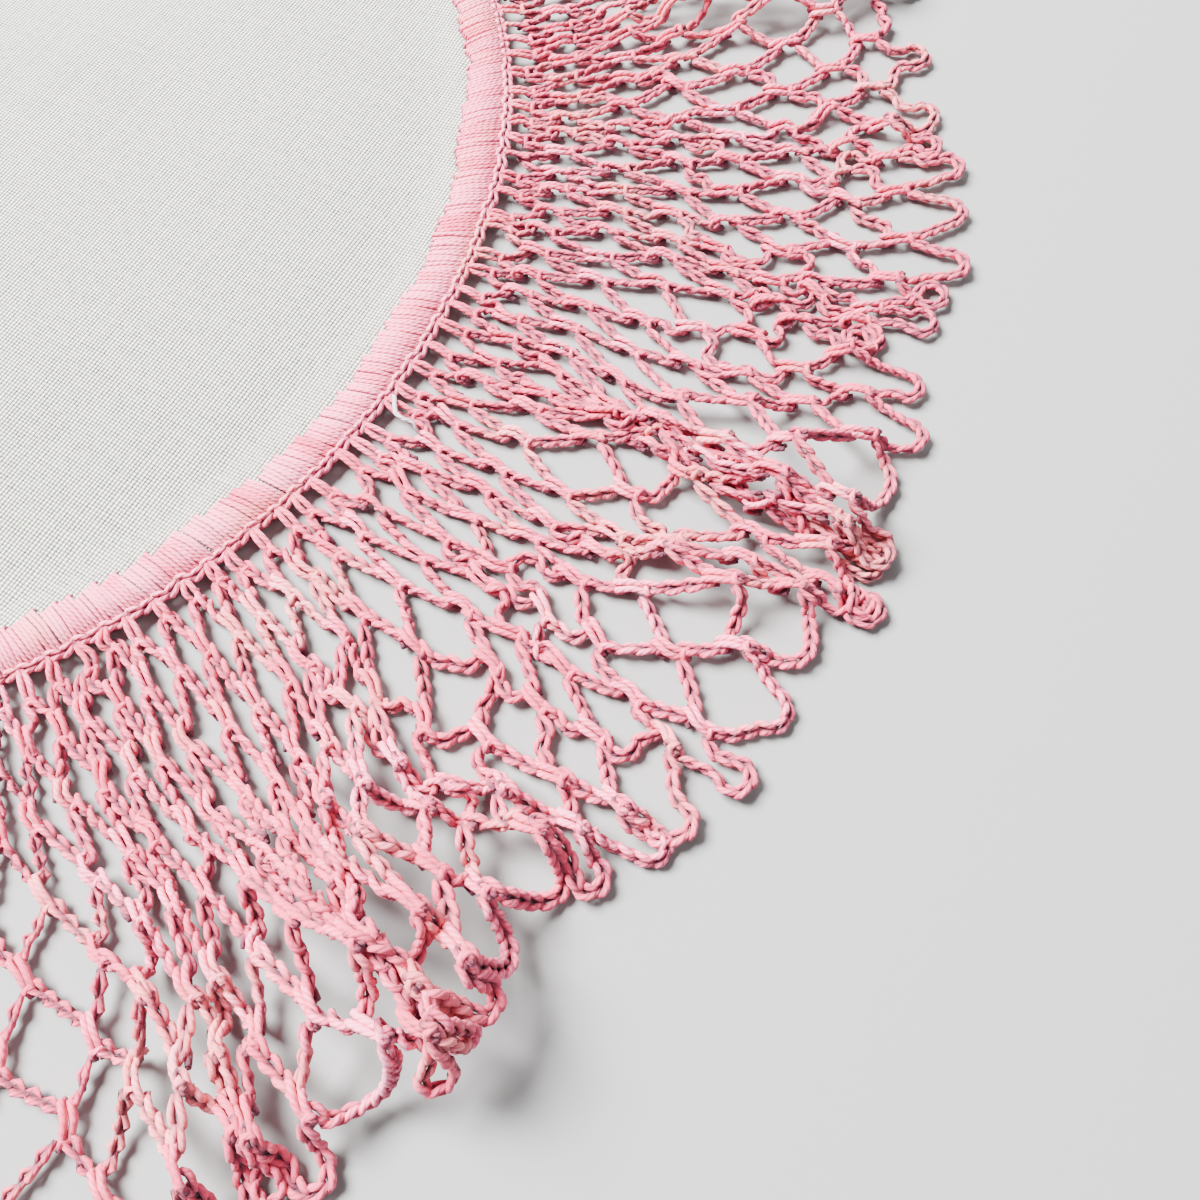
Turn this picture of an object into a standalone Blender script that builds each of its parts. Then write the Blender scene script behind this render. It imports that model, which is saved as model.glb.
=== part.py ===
"""Lace doily: a round linen centre, a crocheted heading over its hem and a net edging.

Metres, +Z up. The origin is the centre of the underside, and z = 0 is the surface it lies on.
Angles are in degrees about +Z from +X. A column is one loop of the net's first round.
"""
from collections import namedtuple
from math import cos, exp, floor, pi, radians, sin

import bmesh
import bpy
from mathutils import Vector

MM = 0.001

# Driving dimensions
LINEN_THICK = 1.0 * MM
LINEN_FLAT_RADIUS = 72.0 * MM          # the linen lies on the surface out to here
HEM_START_RADIUS = 76.2 * MM
HEM_END_RADIUS = 81.4 * MM
HEM_LIFT = 0.9 * MM                    # underside of the hem, inside the heading
HEADING_INNER_RADIUS = 77.6 * MM
HEADING_OUTER_RADIUS = 83.2 * MM
HEADING_WALL = 0.6 * MM
RIDGE_WIDTH = 1.5 * MM                 # chain ridge along the heading's outer side
RIDGE_RISE = 0.25 * MM
EDGE_EASE = 0.3 * MM                   # the heading's edges are eased by this much
GAP = 0.3 * MM                         # between neighbouring pieces
NET_THICK = 1.4 * MM
STRAND_HALF = 0.9 * MM                 # half the width of a strand of the net
RIM_STRAND = 1.3 * MM                  # width of the free loops
RIM_SHOULDER = 1.5 * MM                # a free loop's foot is full width this far above its end
RIM_HALF_WIDTH = 0.42                  # half the width of that foot, in columns
LEAST_CUT = 2.3 * MM                   # a mesh that the folds draw narrower stays closed
COLUMNS = 180                          # loops of the real net round the heading
STEPS_ROUND = 120                      # sides of the linen and the heading

# Rounds of the net that carry its solid strands, at twice the real pitch both ways.
# columns: how far the knots are shifted round, in columns.
Round = namedtuple("Round", "radius columns")
ROUNDS = [
    Round(98.7 * MM, 1.5),
    Round(112.3 * MM, 2.5),
    Round(126.0 * MM, 1.5),
    Round(139.6 * MM, 2.5),
]
COLUMN_STEP = 2
CLOSED_RADII = [HEADING_OUTER_RADIUS + GAP, 91.0 * MM]   # rows of the part with narrow meshes

# Uneven inner edge of the heading: cycles round, height, phase in degrees
Wave = namedtuple("Wave", "cycles height phase")
EDGE_WAVES = [Wave(7, 0.22 * MM, 20), Wave(17, 0.25 * MM, 75), Wave(31, 0.2 * MM, 140)]

# Where the net is drawn open or bunched, leans sideways, stands up in a fold, or has its rim
# drawn out or in. angle, half_width, lean: degrees. start, end, height, draw: millimetres.
# spread above 0 opens the columns at the middle, and below 0 bunches them.
Fold = namedtuple("Fold", "angle half_width start end spread lean height draw")
TO_RIM = 150
FOLDS = [
    Fold(3.0, 3.0, 96, TO_RIM, -0.35, 1.0, 6.0, 0),
    Fold(-3.5, 3.2, 108, TO_RIM, 0.70, 0.0, 0.5, -3),
    Fold(-7.2, 1.6, 112, TO_RIM, -0.25, 0.0, 2.5, 1),
    Fold(-12.0, 3.2, 108, TO_RIM, 0.45, -0.8, 0.0, 0),
    Fold(-16.0, 8.0, 100, TO_RIM, 0.00, -1.2, 0.0, 0),
    Fold(-17.0, 1.8, 126, TO_RIM, -0.30, 0.0, 3.5, 1),
    Fold(-19.5, 7.0, 114, TO_RIM, 0.00, -1.2, 0.0, 0),
    Fold(-20.0, 1.8, 98, 126, 0.40, 0.0, 0.5, -3),
    Fold(-22.6, 1.4, 120, TO_RIM, -0.35, -0.3, 4.0, -6),
    Fold(-25.2, 1.6, 113, TO_RIM, 0.90, 0.0, 0.5, -2),
    Fold(-27.3, 3.2, 106, TO_RIM, -0.15, -2.4, 0.0, 0),
    Fold(-29.6, 2.2, 106, TO_RIM, -0.15, -0.6, 8.5, 1),
    Fold(-34.4, 2.0, 101, 122, 1.05, 0.3, 0.5, 0),
    Fold(-37.2, 1.8, 110, TO_RIM, -0.35, 0.0, 5.0, 3),
    Fold(-42.5, 3.0, 114, TO_RIM, 0.95, 0.0, 1.0, -2),
    Fold(-45.6, 1.8, 122, TO_RIM, 0.00, 0.0, 1.5, -4),
    Fold(-48.5, 1.7, 100, 116, 0.85, -0.2, 0.5, 0),
    Fold(-48.6, 2.0, 119, TO_RIM, -0.40, 0.0, 3.5, -3),
    Fold(-51.8, 1.6, 114, TO_RIM, -0.15, 0.3, 6.0, -7),
    Fold(-53.8, 1.1, 117, TO_RIM, 0.60, 0.0, 0.5, -3),
    Fold(-57.2, 3.0, 109, TO_RIM, -0.55, -0.8, 11.0, 1),
    Fold(-62.7, 2.4, 117, TO_RIM, 0.95, 0.0, 1.0, 1),
    Fold(-67.5, 2.6, 106, TO_RIM, -0.40, 0.5, 5.0, 1),
    Fold(-73.0, 3.0, 110, TO_RIM, 0.70, 0.0, 0.5, -1),
    Fold(-80.0, 3.2, 104, TO_RIM, -0.35, -1.0, 6.0, 1),
    Fold(-86.5, 3.0, 106, TO_RIM, 0.90, 0.0, 0.5, -2),
    Fold(-93.5, 2.2, 114, TO_RIM, -0.30, 0.0, 4.0, 2),
    Fold(-99.0, 2.8, 102, 130, 0.70, 0.6, 0.5, 0),
    Fold(-106.0, 3.0, 100, TO_RIM, -0.40, 1.2, 8.0, 1),
    Fold(-113.5, 3.4, 110, TO_RIM, 1.00, 0.0, 0.5, -2),
    Fold(-121.0, 2.4, 112, TO_RIM, -0.30, 0.0, 4.0, 2),
    Fold(-128.0, 3.2, 104, TO_RIM, 0.55, 0.0, 0.5, 0),
    Fold(-136.5, 3.0, 106, TO_RIM, -0.40, -0.8, 7.0, 1),
    Fold(-144.0, 3.2, 112, TO_RIM, 1.00, 0.0, 0.5, -3),
    Fold(-151.0, 2.2, 116, TO_RIM, -0.25, 0.0, 3.0, 2),
    Fold(-158.0, 3.0, 102, TO_RIM, 0.50, -0.6, 0.5, 0),
    Fold(-166.0, 3.2, 100, TO_RIM, -0.40, 1.0, 9.0, 0),
    Fold(-173.5, 3.2, 108, TO_RIM, 0.90, 0.0, 0.5, -1),
    Fold(-181.5, 2.4, 112, TO_RIM, -0.30, 0.0, 4.0, 2),
    Fold(-189.0, 3.2, 106, TO_RIM, 0.60, 0.5, 0.5, -2),
    Fold(-197.0, 3.0, 98, TO_RIM, -0.35, -1.2, 7.0, 1),
    Fold(-204.5, 3.0, 110, TO_RIM, 1.00, 0.0, 0.5, -2),
    Fold(-212.0, 2.2, 114, TO_RIM, -0.25, 0.0, 3.0, 1),
    Fold(-219.5, 3.2, 104, TO_RIM, 0.60, 0.0, 0.5, 0),
    Fold(-228.0, 3.2, 102, TO_RIM, -0.40, 0.8, 8.0, 1),
    Fold(-236.0, 3.4, 110, TO_RIM, 1.00, 0.0, 0.5, -3),
    Fold(-244.0, 2.4, 114, TO_RIM, -0.30, 0.0, 4.0, 2),
    Fold(-251.5, 3.0, 100, 128, 0.60, -0.6, 0.5, 0),
    Fold(-259.5, 3.0, 104, TO_RIM, -0.35, -1.0, 6.0, 0),
    Fold(-267.0, 3.2, 110, TO_RIM, 0.90, 0.0, 0.5, -1),
    Fold(-275.0, 2.6, 112, TO_RIM, -0.30, 0.0, 5.0, 2),
    Fold(-283.0, 3.4, 106, TO_RIM, 0.70, 0.4, 0.5, -2),
    Fold(-291.5, 3.2, 100, TO_RIM, -0.40, 1.2, 9.0, 1),
    Fold(-300.0, 3.2, 112, TO_RIM, 1.00, 0.0, 0.5, -2),
    Fold(-308.0, 2.4, 112, TO_RIM, -0.25, 0.0, 3.0, 1),
    Fold(-315.5, 3.2, 104, TO_RIM, 0.50, 0.0, 0.5, 0),
    Fold(-324.0, 3.0, 102, TO_RIM, -0.40, -1.0, 7.0, 1),
    Fold(-332.0, 3.2, 110, TO_RIM, 0.90, 0.0, 0.5, -2),
    Fold(-341.0, 2.8, 108, TO_RIM, -0.30, 0.8, 5.0, 1),
    Fold(-349.5, 3.0, 112, TO_RIM, 0.60, 0.0, 0.5, -1),
]
RISE_HALF_RUN = 7 * MM        # a fold's pull grows over this far either side of its start
FALL_RUN = 7 * MM             # and fades over this far past its end
HEIGHT_RUN = 22 * MM          # a fold reaches its height this far past its start
RIDGE_SHARE = 0.62            # width of a raised fold over that of its pull
RIM_PULL_RADII = (110 * MM, 139 * MM)


def remove_all():
    for item in list(bpy.data.objects):
        bpy.data.objects.remove(item, do_unlink=True)


def smooth_step(low, high, value):
    t = min(max((value - low) / (high - low), 0.0), 1.0)
    return t * t * (3 - 2 * t)


def turn_between(angle, middle):
    """Degrees from middle to angle, from -180 to 180."""
    turn = angle - middle
    return turn - 360 * floor((turn + 180) / 360)


def pull_of(fold, radius):
    """How much of a fold's pull there is at a radius, 0 to 1."""
    start, end = fold.start * MM, fold.end * MM
    pull = smooth_step(start - RISE_HALF_RUN, start + RISE_HALF_RUN, radius)
    if fold.end < TO_RIM:
        pull *= 1 - smooth_step(end - FALL_RUN, end + FALL_RUN, radius)
    return pull


def column_angle(column, radius):
    """Angle of a column at a radius, in degrees, after the folds have moved it sideways."""
    plain = -column * 360 / COLUMNS
    angle = plain
    for fold in FOLDS:
        x = turn_between(plain, fold.angle) / fold.half_width
        bell = exp(-x * x / 2) * pull_of(fold, radius)
        angle += (fold.spread * fold.half_width * x + fold.lean) * bell
    return angle


def fold_height(angle, radius):
    """Height of the net's underside above the surface."""
    height = 0.0
    for fold in FOLDS:
        pull = pull_of(fold, radius)
        x = turn_between(angle, fold.angle + fold.lean * pull) / (fold.half_width * RIDGE_SHARE)
        start = fold.start * MM
        rise = smooth_step(start - RISE_HALF_RUN, start + HEIGHT_RUN, radius)
        height += fold.height * MM * exp(-x * x / 2) * pull * rise
    return height


def rim_draw(angle, radius):
    """How far the net is drawn out, or in below 0, towards its rim."""
    draw = 0.0
    for fold in FOLDS:
        x = turn_between(angle, fold.angle) / fold.half_width
        draw += fold.draw * MM * exp(-x * x / 2)
    return draw * smooth_step(*RIM_PULL_RADII, radius)


def net_point(column, radius):
    angle = column_angle(column, radius)
    reach = radius + rim_draw(angle, radius)
    return Vector((reach * cos(radians(angle)), reach * sin(radians(angle)), 0))


def edge_wander(angle):
    """Unevenness of the line where the heading's stitches enter the linen."""
    return sum(w.height * sin(radians(w.cycles * angle + w.phase)) for w in EDGE_WAVES)


def make_material(name, colour, roughness):
    material = bpy.data.materials.new(name)
    material.use_nodes = True
    shader = material.node_tree.nodes["Principled BSDF"]
    shader.inputs["Base Color"].default_value = (*colour, 1)
    shader.inputs["Roughness"].default_value = roughness
    shader.inputs["Metallic"].default_value = 0.0
    return material


def add_object(name, shape, material, sharp=40):
    mesh = bpy.data.meshes.new(name)
    shape.to_mesh(mesh)
    shape.free()
    mesh.materials.append(material)
    mesh.shade_smooth()
    mesh.set_sharp_from_angle(angle=radians(sharp))
    item = bpy.data.objects.new(name, mesh)
    bpy.context.scene.collection.objects.link(item)
    return item


def turn_profile(points):
    """A closed ring or a solid disc from a profile of (radius, height) points."""
    shape = bmesh.new()
    corners = [shape.verts.new((radius, 0, height)) for radius, height in points]
    closed = points[0][0] > 0
    count = len(corners)
    pairs = count if closed else count - 1
    edges = [shape.edges.new((corners[i], corners[(i + 1) % count])) for i in range(pairs)]
    bmesh.ops.spin(shape, geom=corners + edges, cent=(0, 0, 0), axis=(0, 0, 1),
                   angle=2 * pi, steps=STEPS_ROUND, use_merge=True)
    bmesh.ops.remove_doubles(shape, verts=shape.verts[:], dist=0.00001)
    bmesh.ops.recalc_face_normals(shape, faces=shape.faces[:])
    return shape


def wander_edge(shape, full_radius, still_radius):
    """Move points near full_radius in or out with the uneven edge, and those past still_radius not."""
    for point in shape.verts:
        radius = Vector((point.co.x, point.co.y)).length
        if radius < MM:
            continue
        share = 1 - min(abs(radius - full_radius) / abs(still_radius - full_radius), 1)
        angle = Vector((1, 0)).angle_signed(Vector((point.co.x, point.co.y)))
        scale = 1 + share * edge_wander(-angle * 180 / pi) / radius
        point.co.x *= scale
        point.co.y *= scale


def build_linen(material):
    """A disc that lies flat and steps up at its hem, which the heading clasps."""
    lift, thick = HEM_LIFT, LINEN_THICK
    profile = [
        (0, 0),
        (LINEN_FLAT_RADIUS, 0),
        (HEM_START_RADIUS, lift),
        (HEM_END_RADIUS, lift),
        (HEM_END_RADIUS, lift + thick),
        (HEM_START_RADIUS, lift + thick),
        (LINEN_FLAT_RADIUS, thick),
        (0, thick),
    ]
    return add_object("linen_round", turn_profile(profile), material)


def build_heading(material):
    """A band worked round the hem: a wall under it, a wall over it and a ridge outside it."""
    slot_low = HEADING_WALL
    slot_high = HEM_LIFT + LINEN_THICK + GAP
    top = slot_high + HEADING_WALL
    slot_end = HEM_END_RADIUS + GAP
    ridge_start = HEADING_OUTER_RADIUS - RIDGE_WIDTH
    profile = [
        (HEADING_INNER_RADIUS, EDGE_EASE / 2),
        (HEADING_INNER_RADIUS + EDGE_EASE, 0),
        (HEADING_OUTER_RADIUS - EDGE_EASE, 0),
        (HEADING_OUTER_RADIUS, EDGE_EASE),
        (HEADING_OUTER_RADIUS, top - EDGE_EASE),
        (HEADING_OUTER_RADIUS - EDGE_EASE, top + RIDGE_RISE),
        (ridge_start + EDGE_EASE, top + RIDGE_RISE),
        (ridge_start, top),
        (HEADING_INNER_RADIUS + EDGE_EASE, top),
        (HEADING_INNER_RADIUS, top - EDGE_EASE),
        (HEADING_INNER_RADIUS, slot_high),
        (slot_end, slot_high),
        (slot_end, slot_low),
        (HEADING_INNER_RADIUS, slot_low),
    ]
    shape = turn_profile(profile)
    wander_edge(shape, HEADING_INNER_RADIUS, ridge_start)
    return add_object("crochet_heading", shape, material)


def lattice_rows(shape):
    """Points of the net: two plain rows on the closed part, then the knots of each round."""
    count = COLUMNS // COLUMN_STEP
    rows = []
    for radius in CLOSED_RADII:
        columns = [COLUMN_STEP * i + ROUNDS[0].columns for i in range(count)]
        rows.append([shape.verts.new(net_point(c, radius)) for c in columns])
    for knots in ROUNDS[:-1]:
        columns = [COLUMN_STEP * i + knots.columns for i in range(count)]
        rows.append([shape.verts.new(net_point(c, knots.radius)) for c in columns])
    return rows


def rim_points(shape, index):
    """The rounded foot of one free loop, in order from its left knot to its right one."""
    rim = ROUNDS[-1]
    middle = COLUMN_STEP * index + rim.columns
    left = net_point(middle - RIM_HALF_WIDTH, rim.radius - RIM_SHOULDER)
    right = net_point(middle + RIM_HALF_WIDTH, rim.radius - RIM_SHOULDER)
    foot = net_point(middle, rim.radius)
    return [shape.verts.new(left), shape.verts.new(foot), shape.verts.new(right)]


def cut_meshes(shape, faces, strand):
    """Cut each mesh through, strand wide inside its edges. Meshes drawn too narrow stay closed."""
    wide = []
    for face in faces:
        around = sorted(face.calc_center_median().xy.angle_signed(v.co.xy) for v in face.verts)
        width = (around[-1] - around[0]) * face.calc_center_median().length
        if width - 2 * strand > LEAST_CUT:
            wide.append(face)
    bmesh.ops.inset_individual(shape, faces=wide, thickness=strand, use_even_offset=True)
    bmesh.ops.delete(shape, geom=wide, context="FACES")


def build_net(material):
    """A closed inner ring, then strands round diamond meshes, and free loops at the rim."""
    shape = bmesh.new()
    rows = lattice_rows(shape)
    count = len(rows[0])
    for upper, lower in zip(rows[:2], rows[1:3]):
        for i in range(count):
            shape.faces.new((upper[i], lower[i], lower[i - 1], upper[i - 1]))
    first, second, third = rows[2:]
    meshes = []
    free_meshes = []
    for i in range(count):
        after = (i + 1) % count
        meshes.append(shape.faces.new((first[i], second[i], first[after])))
        meshes.append(shape.faces.new((first[after], second[i], third[after], second[after])))
        rim = rim_points(shape, i)
        free_meshes.append(shape.faces.new((second[i], third[i], *rim, third[after])))
    bmesh.ops.recalc_face_normals(shape, faces=shape.faces[:])
    if shape.faces[0].normal.z < 0:
        bmesh.ops.reverse_faces(shape, faces=shape.faces[:])
    cut_meshes(shape, meshes, STRAND_HALF)
    cut_meshes(shape, free_meshes, RIM_STRAND)
    for point in shape.verts:
        angle = Vector((1, 0)).angle_signed(point.co.xy) * -180 / pi
        point.co.z = fold_height(angle, point.co.xy.length)
    item = add_object("net_edging", shape, material)
    sheet = item.modifiers.new("thickness", "SOLIDIFY")
    sheet.thickness = NET_THICK
    sheet.offset = 1
    sheet.use_even_offset = True
    return item


remove_all()
linen_cloth = make_material("linen", (0.90, 0.89, 0.85), 0.85)
pink_thread = make_material("pink_thread", (0.86, 0.42, 0.45), 0.75)
build_linen(linen_cloth)
build_heading(pink_thread)
build_net(pink_thread)
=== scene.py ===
"""Lace doily: woven linen centre, crocheted heading and a net edging of chain loops.

Metres unless a name or a table says millimetres, +Z up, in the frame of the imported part.
Angles are in degrees about +Z from +X. A column is one loop of the net's first round.
"""
from collections import namedtuple
from math import cos, pi, radians, sin

import bmesh
import bpy
import numpy as np
from mathutils import Matrix, Vector


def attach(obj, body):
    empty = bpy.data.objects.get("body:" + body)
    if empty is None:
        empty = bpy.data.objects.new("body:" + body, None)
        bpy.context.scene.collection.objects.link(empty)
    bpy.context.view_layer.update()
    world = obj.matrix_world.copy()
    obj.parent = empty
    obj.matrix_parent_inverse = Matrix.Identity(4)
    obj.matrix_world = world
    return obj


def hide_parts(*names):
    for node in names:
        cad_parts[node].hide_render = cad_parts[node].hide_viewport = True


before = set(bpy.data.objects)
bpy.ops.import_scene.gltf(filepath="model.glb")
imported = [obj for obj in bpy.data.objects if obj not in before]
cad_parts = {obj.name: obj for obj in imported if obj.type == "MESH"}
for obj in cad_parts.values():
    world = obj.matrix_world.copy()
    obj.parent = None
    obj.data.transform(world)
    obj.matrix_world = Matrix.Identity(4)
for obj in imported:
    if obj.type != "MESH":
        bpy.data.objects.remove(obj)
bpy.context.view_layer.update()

MM = 0.001

# ---- sizes, in millimetres
COLUMNS = 180  # loops round the heading
STITCH = 1.55  # length of one chain stitch
LINEN_SIGHT_RADIUS = 77.4  # where the heading's stitches enter the linen
RIDGE_RADIUS = 82.6
RIDGE_SAG = 0.2  # between two knots the ridge lies this far outwards and down
RIDGE_INNER = RIDGE_RADIUS - RIDGE_SAG
HEM_RADIUS = 81.4
LINEN_THICK = 0.45
HEM_MIDDLE = 0.95  # height of the hem's middle, inside the heading
PRONG = 2.4  # from the loop above to the bar of a knot
BAR = 0.95  # between the two chains that leave a knot
BAR_SHIFT = 0.34  # the bar's middle lies clockwise of its prongs
CHAIN_CLEAR = 1.14  # chains that lie against each other are this far apart
CHAIN_LIFT = 0.78  # middle of a chain that lies on the surface

# Rounds of the net. radius: of its bars. stitches: chains in each of its loops.
Round = namedtuple("Round", "radius stitches")
ROUNDS = [Round(85.6, 5), Round(91.0, 7), Round(98.4, 7), Round(105.8, 7), Round(112.3, 7),
          Round(119.1, 7), Round(126.0, 7), Round(132.8, 10)]

# Uneven inner edge of the heading: cycles round, height in millimetres, phase in degrees
Wave = namedtuple("Wave", "cycles height phase")
EDGE_WAVES = [Wave(7, 0.22, 20), Wave(17, 0.25, 75), Wave(31, 0.2, 140)]

# Where the net is drawn open or bunched, leans sideways, stands up in a fold, or has its rim
# drawn out or in. angle, half_width, lean: degrees. start, end, height, draw: millimetres.
# spread above 0 opens the columns at the middle, and below 0 bunches them. A fold without a
# lean or an end of its own stands straight and runs to the rim.
TO_RIM = 150
Fold = namedtuple("Fold", "angle half_width start spread height draw lean end",
                  defaults=(0.0, TO_RIM))
FOLDS = [Fold(*row) for row in [
    (3, 3, 96, -0.35, 6, 0, 1), (-3.5, 3.2, 108, 0.7, 0.5, -3),
    (-7.2, 1.6, 112, -0.25, 2.5, 1), (-12, 3.2, 108, 0.45, 0, 0, -0.8),
    (-16, 8, 100, 0, 0, 0, -1.2), (-17, 1.8, 126, -0.3, 3.5, 1),
    (-19.5, 7, 114, 0, 0, 0, -1.2), (-20, 1.8, 98, 0.6, 0.5, -3, 0, 126),
    (-22.6, 1.4, 120, -0.35, 4, -6, -0.3), (-25.2, 1.6, 113, 0.9, 0.5, -2),
    (-27.3, 3.2, 106, -0.15, 0, 0, -2.4), (-29.8, 3.2, 106, -0.74, 9, 0, -0.6),
    (-35, 1.9, 101, 1.6, 0.5, 0, 0.3, 120), (-37.2, 1.8, 110, -0.35, 5, 3),
    (-40.4, 2.1, 115, 1.2, 1, -1), (-44.8, 1.3, 120, 0.8, 1.5, -4),
    (-48, 1.8, 101, 1.3, 0.5, 0, -0.2, 117), (-48.6, 2, 119, -0.4, 3.5, -3),
    (-51.8, 1.6, 114, -0.15, 6, -7, 0.3), (-53.4, 1, 119, 0.8, 0.5, -3),
    (-57.4, 4.8, 106, -0.8, 11, 3, -0.6), (-63, 1.8, 122, 1.3, 1, 3),
    (-65, 4.5, 97, -0.35, 1, 0, 0, 119), (-67.5, 2.6, 106, -0.5, 5, 1, 0.5),
    (-73, 3, 110, 0.7, 0.5, -1), (-80, 3.2, 104, -0.35, 6, 1, -1),
    (-86.5, 3, 106, 0.9, 0.5, -2), (-93.5, 2.2, 114, -0.3, 4, 2),
    (-99, 2.8, 102, 0.7, 0.5, 0, 0.6, 130), (-106, 3, 100, -0.4, 8, 1, 1.2),
    (-113.5, 3.4, 110, 1, 0.5, -2), (-121, 2.4, 112, -0.3, 4, 2),
    (-128, 3.2, 104, 0.55, 0.5, 0), (-136.5, 3, 106, -0.4, 7, 1, -0.8),
    (-144, 3.2, 112, 1, 0.5, -3), (-151, 2.2, 116, -0.25, 3, 2),
    (-158, 3, 102, 0.5, 0.5, 0, -0.6), (-166, 3.2, 100, -0.4, 9, 0, 1),
    (-173.5, 3.2, 108, 0.9, 0.5, -1), (-181.5, 2.4, 112, -0.3, 4, 2),
    (-189, 3.2, 106, 0.6, 0.5, -2, 0.5), (-197, 3, 98, -0.35, 7, 1, -1.2),
    (-204.5, 3, 110, 1, 0.5, -2), (-212, 2.2, 114, -0.25, 3, 1),
    (-219.5, 3.2, 104, 0.6, 0.5, 0), (-228, 3.2, 102, -0.4, 8, 1, 0.8),
    (-236, 3.4, 110, 1, 0.5, -3), (-244, 2.4, 114, -0.3, 4, 2),
    (-251.5, 3, 100, 0.6, 0.5, 0, -0.6, 128), (-259.5, 3, 104, -0.35, 6, 0, -1),
    (-267, 3.2, 110, 0.9, 0.5, -1), (-275, 2.6, 112, -0.3, 5, 2),
    (-283, 3.4, 106, 0.7, 0.5, -2, 0.4), (-291.5, 3.2, 100, -0.4, 9, 1, 1.2),
    (-300, 3.2, 112, 1, 0.5, -2), (-308, 2.4, 112, -0.25, 3, 1),
    (-315.5, 3.2, 104, 0.5, 0.5, 0), (-324, 3, 102, -0.4, 7, 1, -1),
    (-332, 3.2, 110, 0.9, 0.5, -2), (-341, 2.8, 108, -0.3, 5, 1, 0.8),
    (-349.5, 3, 112, 0.6, 0.5, -1),
]]

# Where the thread is slack and fuller, or pulled thinner. share: of its thickness and width.
Fullness = namedtuple("Fullness", "angle half_width share")
FULLNESSES = [Fullness(-5, 8, -0.06), Fullness(-20, 8, -0.14), Fullness(-53, 10, 0.17),
              Fullness(-95, 12, 0.12), Fullness(-150, 18, -0.04), Fullness(-205, 16, 0.14),
              Fullness(-290, 20, 0.10)]
RISE_HALF_RUN = 7  # a fold's pull grows over this far either side of its start
FALL_RUN = 7  # and fades over this far either side of its end
HEIGHT_RUN = 22  # a fold reaches its height this far past its start
RIDGE_SHARE = 0.62  # width of a raised fold over that of its pull
RUFFLE_HEIGHT = 9  # the net is fully ruffled where it stands this high
RIM_PULL_RADII = (110, 139)
RIM_REACH = 6.0  # from the last knots to the ends of the free loops
RIM_FOLLOW = 0.45  # share of the rim's draw that the free loops add to their reach


# ---- the net's folds
def smooth_step(low, high, value):
    t = np.clip((value - low) / (high - low), 0, 1)
    return t * t * (3 - 2 * t)


def bell(x):
    return np.exp(-x * x / 2)


def turn_between(angle, middle):
    """Degrees from middle to angle, from -180 to 180."""
    turn = angle - middle
    return turn - 360 * np.floor((turn + 180) / 360)


def offset_in(region, angle):
    """How far angles lie from the middle of a fold or a fullness, in its half widths."""
    return turn_between(angle, region.angle) / region.half_width


def pull_of(fold, radius):
    """How much of a fold's pull there is at each radius, 0 to 1."""
    pull = smooth_step(fold.start - RISE_HALF_RUN, fold.start + RISE_HALF_RUN, radius)
    if fold.end < TO_RIM:
        pull = pull * (1 - smooth_step(fold.end - FALL_RUN, fold.end + FALL_RUN, radius))
    return pull


def columns_of(index):
    """The columns that a round's knots lie on."""
    return np.arange(COLUMNS) + (index + 1) / 2


def plain_angle(column):
    return -column * 360 / COLUMNS


def column_angle(column, radius):
    """Angles of columns at radii, after the folds have moved them sideways."""
    plain = angle = plain_angle(column)
    for fold in FOLDS:
        x = offset_in(fold, plain)
        pull = bell(x) * pull_of(fold, radius)
        angle = angle + (fold.spread * fold.half_width * x + fold.lean) * pull
    return angle


def fold_height(angle, radius):
    height = np.zeros_like(angle)
    for fold in FOLDS:
        pull = pull_of(fold, radius)
        x = turn_between(angle, fold.angle + fold.lean * pull) / (fold.half_width * RIDGE_SHARE)
        rise = smooth_step(fold.start - RISE_HALF_RUN, fold.start + HEIGHT_RUN, radius)
        height = height + fold.height * bell(x) * pull * rise
    return height


def raised_share(height):
    """How ruffled the net is where it stands this high, 0 to 1."""
    return np.clip(height / RUFFLE_HEIGHT, 0, 1)


def fullness_at(angle):
    full = np.ones_like(angle)
    for region in FULLNESSES:
        full = full + region.share * bell(offset_in(region, angle))
    return full


def rim_draw(angle, radius):
    draw = np.zeros_like(angle)
    for fold in FOLDS:
        draw = draw + fold.draw * bell(offset_in(fold, angle))
    return draw * smooth_step(*RIM_PULL_RADII, radius)


def polar(angle, radius, height):
    """Points, in millimetres, from angles, radii and heights."""
    turn = np.radians(angle)
    height = np.broadcast_to(height, np.shape(turn))
    return np.stack([radius * np.cos(turn), radius * np.sin(turn), height], axis=-1)


def angle_of(points):
    return np.degrees(np.arctan2(points[:, 1], points[:, 0]))


def radius_of(points):
    return np.linalg.norm(points[:, :2], axis=1)


def edge_wander(angle):
    return sum(w.height * np.sin(np.radians(w.cycles * angle + w.phase)) for w in EDGE_WAVES)


def is_rim(index):
    return index == len(ROUNDS) - 1


# ---- laying out and settling the net
RADIUS_UNEVEN = 1.0
COLUMN_UNEVEN = 0.07
FIRST_UNEVEN = 0.14
POINT_UNEVEN = 0.2
LENGTH_UNEVEN = 0.06
LENGTH_RANGE = (0.88, 1.12)
UNEVEN_ROUNDS = 3  # the radii are fully uneven from this round on
DRIFT = 0.6  # by which a knot's radius strays from the last knot's
DRIFT_RUN = 21  # columns over which the radii stray and come back
RUFFLED_COLUMN = 4.0  # how much more uneven the net is where it stands up
RUFFLED_RADIUS = 0.9
RUFFLED_LIFT = 2.2
ANCHOR_HEIGHT = 1.0
BAR_LIFT = 0.8
RIM_UNEVEN = 1.2  # of the free loops' reach
RIM_LEAST = 2  # and its least
RIM_SHIFT = [1.4, 1.4, 0.5]  # how far the free loops stray
FOOT_SHIFTS = (-1, 0, 0, 0, 1)  # stitches from a loop's middle to the knot that takes it in
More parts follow.
